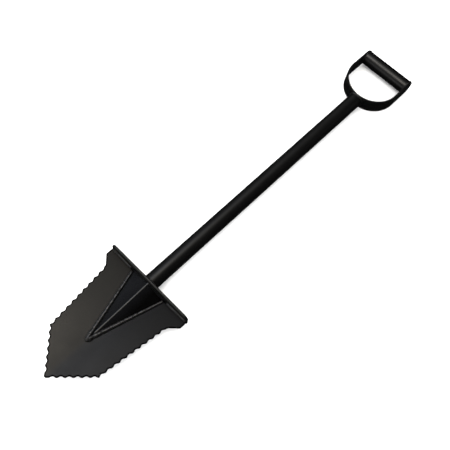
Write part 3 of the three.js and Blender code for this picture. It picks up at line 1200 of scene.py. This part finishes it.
@dataclass
class WeldRuns:
    """Every weld on the shovel, each a rippled bead along its joint."""

    head: Head
    gusset: Gusset
    handle: DHandle
    blade_thickness: float = 3.2 * MM
    foot_radius: float = 3.0 * MM
    foot_raise: float = 0.8 * MM
    top_radius: float = 2.7 * MM
    seam_radius: float = 2.2 * MM
    tube_radius: float = 2.2 * MM
    grip_radius: float = 1.6 * MM
    foot_flare: float = 0.6
    foot_stray: float = 1.0 * MM
    back_start: float = 2 * MM
    tip_radius: float = 5.2 * MM
    tip_reach: Point = (-2.2 * MM, 9 * MM)
    tip_ripple: float = 0.06
    pitch: float = 2.6 * MM
    nose: float = 1.2
    sunk: float = 1.0 * MM
    ring_steps: int = 72

    FOOT_SHARES = (0.005, 0.25, 0.5, 0.75, 0.985)  # of the way from the vertex to the step plate
    END_SHARES = (1.0, 0.75, 0.5, 0.25, 0.1, 0.02)  # of the way from the ridge to the gusset's foot
    SEED_STEP = 7.3  # between the noise of one bead and the next

    def _head_beads(self, side: Side) -> list[Bead]:
        """Lay out the welds on one half of the blade.

        Args:
            side: The half.

        Returns:
            Its beads.
        """
        sign, place, front = side.value, self.head.place, self.head.front
        width, length = self.gusset.half_width, self.gusset.length
        _, seam_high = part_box("weld_seam_front_left")
        seam_start = width + self.foot_radius + self.seam_radius
        foot = [place(-length * (1 - share), sign * width * share,
                      front(width * share) + self.foot_raise)
                for share in self.FOOT_SHARES]
        top = [place(0.0, sign * width * share, self.gusset.roof(0.0, width * share))
               for share in self.END_SHARES]
        seam = [place(0.0, sign * y, front(y)) for y in (seam_start, seam_high.y)]
        back = [place(0.0, sign * y, front(y) - self.blade_thickness)
                for y in (self.back_start, seam_high.y / 2, seam_high.y)]
        label = side.label
        return [
            Bead(f"bead_gusset_{label}", f"weld_gusset_{label}", foot, self.foot_radius,
                 flare=self.foot_flare, stray=self.foot_stray, on_blade=True),
            # the beads under the step plate get the darker coat: painted shade
            Bead(f"bead_gusset_end_{label}", f"weld_gusset_end_{label}", top, self.top_radius,
                 stray=self.foot_stray, in_shade=True),
            Bead(f"bead_seam_front_{label}", f"weld_seam_front_{label}", seam, self.seam_radius),
            Bead(f"bead_seam_back_{label}", f"weld_seam_back_{label}", back, self.seam_radius),
        ]

    def _ring(self, place: Place, radius: float) -> list[Vector]:
        """Place the points of a circle, each as (0, across, up)."""
        return [place(0.0, radius * math.cos(angle), radius * math.sin(angle)) for angle in
                (2 * math.pi * i / self.ring_steps for i in range(self.ring_steps))]

    def _handle_beads(self) -> list[Bead]:
        """Lay out the weld rings at the ends of the tube and of the grip.

        Returns:
            The four rings.
        """
        handle, tube = self.handle, self.handle.half_width
        step_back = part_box("step_plate")[1].x

        def on_bend(_: float, across: float, up: float) -> Vector:
            """Lay a point of a circle onto the outside of the bend."""
            reach = math.sqrt(handle.outside ** 2 - across ** 2)
            return Vector((handle.bend_centre - reach, across, handle.axis + up))

        rings = [
            Bead("bead_shaft_step", "weld_shaft_step",
                 self._ring(lambda _, y, z: Vector((step_back, y, handle.axis + z)), tube),
                 self.tube_radius, True),
            Bead("bead_shaft_bar", "weld_shaft_strap", self._ring(on_bend, tube),
                 self.tube_radius, True),
        ]
        for side in Side:
            arm = side.value * (handle.outside - handle.thickness)
            rings.append(Bead(
                f"bead_grip_{side.label}", f"weld_grip_{side.label}",
                self._ring(lambda _, x, z, arm=arm: Vector((handle.grip_centre + x, arm,
                                                            handle.axis + z)), tube),
                self.grip_radius, True))
        return rings

    def _tip_bead(self) -> Bead:
        """Lay out the round blob where the two foot welds meet.

        Returns:
            The bead at the gusset's vertex.
        """
        length, front = self.gusset.length, self.head.front(0.0)
        path = [self.head.place(-length + shift, 0.0, front + self.foot_raise)
                for shift in self.tip_reach]
        return Bead("bead_gusset_tip", "weld_gusset_tip", path, self.tip_radius,
                    ripple=self.tip_ripple, on_blade=True)

    def build(self, coat: bpy.types.Material, shade_coat: bpy.types.Material, slot: Slot,
              tree: bpy.types.NodeTree) -> None:
        """Lay every bead.

        Args:
            coat: The beads' finish.
            shade_coat: The darker, duller finish of the beads in the corner under the step plate,
                painted shade.
            slot: The record's slot of both finishes.
            tree: The tree that lays a bead along a path.
        """
        beads = [self._tip_bead(), *self._head_beads(Side.LEFT), *self._head_beads(Side.RIGHT),
                 *self._handle_beads()]
        for number, bead in enumerate(beads):
            count = len(bead.path)
            edges = [(i, i + 1) for i in range(count - 1)]
            if bead.closed:
                edges.append((count - 1, 0))
            mesh = bpy.data.meshes.new(bead.name)
            mesh.from_pydata([tuple(point) for point in bead.path], edges, [])
            piece = object_from(bead.name, mesh)
            run_tree(piece, tree, {
                "Radius": bead.radius, "Pitch": self.pitch, "Seed": self.SEED_STEP * number,
                "Taper": 0.0 if bead.closed else bead.radius * self.nose, "Flare": bead.flare,
                "Stray": bead.stray, "Ripple": bead.ripple,
                # beads in the corner under the step plate take the darker coat, painted shade
                "Material": shade_coat if bead.in_shade else coat,
            })
            if bead.on_blade:
                press_on(piece, self.head, self.sunk)
            finish_piece(piece, slot, [bead.replaced])


# --- studio ------------------------------------------------------------------------------


@dataclass(frozen=True)
class Softbox:
    """A rectangular area light.

    Attributes:
        name: The light's name.
        place: Where it hangs.
        size: Width and height.
        brightness: Light from each square metre and steradian.
        colour: Its colour.
        aim: The point that it faces.
    """

    name: str
    place: Spot
    size: Point
    brightness: float
    colour: Colour = (1.0, 1.0, 1.0)
    aim: Spot = (0.0, 0.0, 0.0)

    def build(self) -> None:
        """Hang the light."""
        data = bpy.data.lights.new(self.name, "AREA")
        data.shape = "RECTANGLE"
        data.size, data.size_y = self.size
        data.energy = math.pi * self.size[0] * self.size[1] * self.brightness
        data.color = self.colour
        lamp = bpy.data.objects.new(self.name, data)
        lamp.location = self.place
        lamp.visible_camera = False
        facing = Vector(self.aim) - Vector(self.place)
        lamp.rotation_euler = facing.to_track_quat("-Z", "Y").to_euler()
        bpy.context.scene.collection.objects.link(lamp)


LIGHTS = (
    Softbox("overhead_warm", (-0.45, 0.55, 3.2), (1.1, 1.0), 7.6, (1.10, 1.00, 0.86),
            aim=(-0.45, 0.55, 0.0)),
    Softbox("overhead_cool", (-0.45, 1.55, 3.2), (1.1, 1.0), 5.5, (0.88, 0.98, 1.16),
            aim=(-0.45, 1.55, 0.0)),
    Softbox("ceiling", (0.75, 1.8, 3.3), (1.5, 3.5), 0.8, aim=(0.75, 1.8, 0.0)),
    Softbox("side", (0.0, 3.5, 1.2), (2.4, 2.4), 0.16, (0.92, 0.99, 1.12)),
    Softbox("tip_side", (-3.6, 0.0, 1.1), (3.0, 1.4), 1.3),
    Softbox("front_tip_side", (-2.0, -3.2, 1.6), (2.4, 1.8), 0.3),
    Softbox("back_tip_side", (-2.2, 3.0, 1.1), (2.6, 1.6), 1.5),
    Softbox("back_grip_side", (2.8, 2.4, 1.8), (1.8, 1.6), 0.35),
    Softbox("front_grip_side", (2.8, -2.0, 0.9), (1.8, 1.4), 0.15),
)


@dataclass
class Studio:
    """Floor, lights and camera.

    Attributes:
        floor_size: Length of each side of the floor.
        floor_colour: Colour of the floor.
        floor_roughness: Roughness of the floor.
        room: Strength of the room's light on the shovel and the floor.
        gloss: Strength of the room's light in the coat's reflections.
        backdrop: Strength of the room's light straight into the camera.
        camera_place: Where the camera stands.
        camera_right: The camera's direction to the right.
        camera_up: The camera's direction up.
        lens: Focal length, in millimetres.
        sensor: Sensor width, in millimetres.
    """

    floor_size: float = 30.0
    floor_colour: Colour = grey(0.94)
    floor_roughness: float = 0.9
    room: float = 1.9
    gloss: float = 0.02
    backdrop: float = 1.1
    camera_place: Spot = (-0.4522, -0.27398, 1.04533)
    camera_right: Spot = (0.69698, -0.71236, 0.08221)
    camera_up: Spot = (0.62931, 0.66260, 0.40612)
    lens: float = 46.496
    sensor: float = 36.0

    def build(self) -> None:
        """Lay the floor, hang the lights and set the camera."""
        self._floor()
        self._world()
        self._camera()
        for light in LIGHTS:
            light.build()

    def _floor(self) -> None:
        """Lay a plain pale floor."""
        mesh = bpy.data.meshes.new("floor")
        reach = self.floor_size / 2
        mesh.from_pydata([(-reach, -reach, 0), (reach, -reach, 0), (reach, reach, 0),
                          (-reach, reach, 0)], [], [(0, 1, 2, 3)])
        floor = object_from("floor", mesh)
        material = bpy.data.materials.new("pale_floor")
        material.use_nodes = True
        surface = material.node_tree.nodes["Principled BSDF"]
        surface.inputs["Base Color"].default_value = (*self.floor_colour, 1)
        surface.inputs["Roughness"].default_value = self.floor_roughness
        surface.inputs["Specular IOR Level"].default_value = 0.0
        mesh.materials.append(material)
        floor.visible_glossy = False

    def _world(self) -> None:
        """Fill the room with an even light that the coat hardly mirrors, before a pale backdrop."""
        world = bpy.data.worlds.new("room")
        world.use_nodes = True
        nodes = Nodes(world.node_tree)
        world.node_tree.nodes["Background"].inputs["Color"].default_value = (1, 1, 1, 1)
        path = nodes.add("ShaderNodeLightPath").outputs
        mirrored = nodes.math("MULTIPLY_ADD", path["Is Glossy Ray"], self.gloss - self.room,
                              self.room)
        strength = nodes.math("MULTIPLY_ADD", path["Is Camera Ray"], self.backdrop - self.room,
                              mirrored)
        world.node_tree.links.new(strength, world.node_tree.nodes["Background"].inputs["Strength"])
        bpy.context.scene.world = world

    def _camera(self) -> None:
        """Set the camera."""
        right, up = Vector(self.camera_right), Vector(self.camera_up)
        data = bpy.data.cameras.new("camera")
        data.lens, data.sensor_width = self.lens, self.sensor
        data.clip_start, data.clip_end = 0.05, 60
        camera = bpy.data.objects.new("camera", data)
        axes = Matrix((right, up, right.cross(up))).transposed()
        camera.matrix_world = Matrix.Translation(Vector(self.camera_place)) @ axes.to_4x4()
        bpy.context.scene.collection.objects.link(camera)
        bpy.context.scene.camera = camera
        bpy.context.scene.view_settings.view_transform = "Standard"


# --- finishes ----------------------------------------------------------------------------

# painted light and shade: the blade is warm and lighter on its left half, cool and darker on its right
BLADE_COAT = PowderCoat("blade_coat", Slot.BLADE, (0.0060, 0.0056, 0.0046), (0.0009, 0.0011, 0.0016),
                        roughness=0.31, specular=0.143, edge_amount=1.0, edge_break=0.15,
                        edge_dulling=0.4)
# painted shade: the blade's rims and walls get a near-black, barely glossy coat that draws a dark
# outline round the blade
BLADE_EDGE_SHADE = PowderCoat("blade_edge_painted_shade", Slot.BLADE, grey(0.0004), (0.0003, 0.0003, 0.0004),
                             roughness=0.6, specular=0.05)
# painted light and reflection: the gusset's left face is lighter and bluish, its right face nearly
# black, painted shade
GUSSET_COAT = PowderCoat("gusset_coat", Slot.GUSSET, (0.0040, 0.0043, 0.0052), grey(0.0003),
                         roughness=0.24, specular=0.24)
BAR_COAT = PowderCoat("bar_coat", Slot.BAR, grey(0.0011), (0.0011, 0.0011, 0.0010),
                      roughness=0.42, specular=0.5)
TUBE_COAT = PowderCoat("tube_coat", Slot.TUBE, grey(0.0009), (0.0009, 0.0009, 0.0008),
                       roughness=0.42, specular=0.5)
GRIP_COAT = PowderCoat("grip_coat", Slot.GRIP, grey(0.0011), grey(0.0011),
                       roughness=0.39, specular=0.5)
WELD_COAT = PowderCoat("weld_coat", Slot.WELD, grey(0.0015), grey(0.0015),
                       roughness=0.36, specular=0.9)
# painted shade: the beads in the corner under the step plate get a darker, barely glossy coat
WELD_COAT_IN_SHADE = PowderCoat("weld_coat_painted_shade", Slot.WELD, (0.0006, 0.0006, 0.0008), grey(0.0004),
                            roughness=0.6, specular=0.2)


def main() -> None:
    """Build the shovel and its studio."""
    logging.basicConfig(level=logging.INFO, format="%(name)s: %(message)s")
    effects = CoatEffects()
    coats = {coat.slot: coat.material(effects) for coat in (
        BLADE_COAT, GUSSET_COAT, BAR_COAT, TUBE_COAT, GRIP_COAT, WELD_COAT)}
    # darker coat for the beads under the step plate: painted shade
    in_shade = WELD_COAT_IN_SHADE.material(effects)
    head = Head.from_frame()
    Blade(head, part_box("blade")[1].y).build(coats[Slot.BLADE], BLADE_EDGE_SHADE.material(effects),
                                            Slot.BLADE, toothed_edge_tree())
    StepPlate().build(coats[Slot.BAR], Slot.BAR)
    gusset = Gusset(head)
    gusset.build(coats[Slot.GUSSET], Slot.GUSSET)
    Shaft().build(coats[Slot.TUBE], Slot.TUBE)
    handle = DHandle()
    handle.build_bar(coats[Slot.BAR], Slot.BAR)
    handle.build_grip(coats[Slot.GRIP], Slot.GRIP)
    WeldRuns(head, gusset, handle).build(coats[Slot.WELD], in_shade, Slot.WELD, weld_bead_tree())
    Studio().build()


if __name__ == "__main__":
    main()
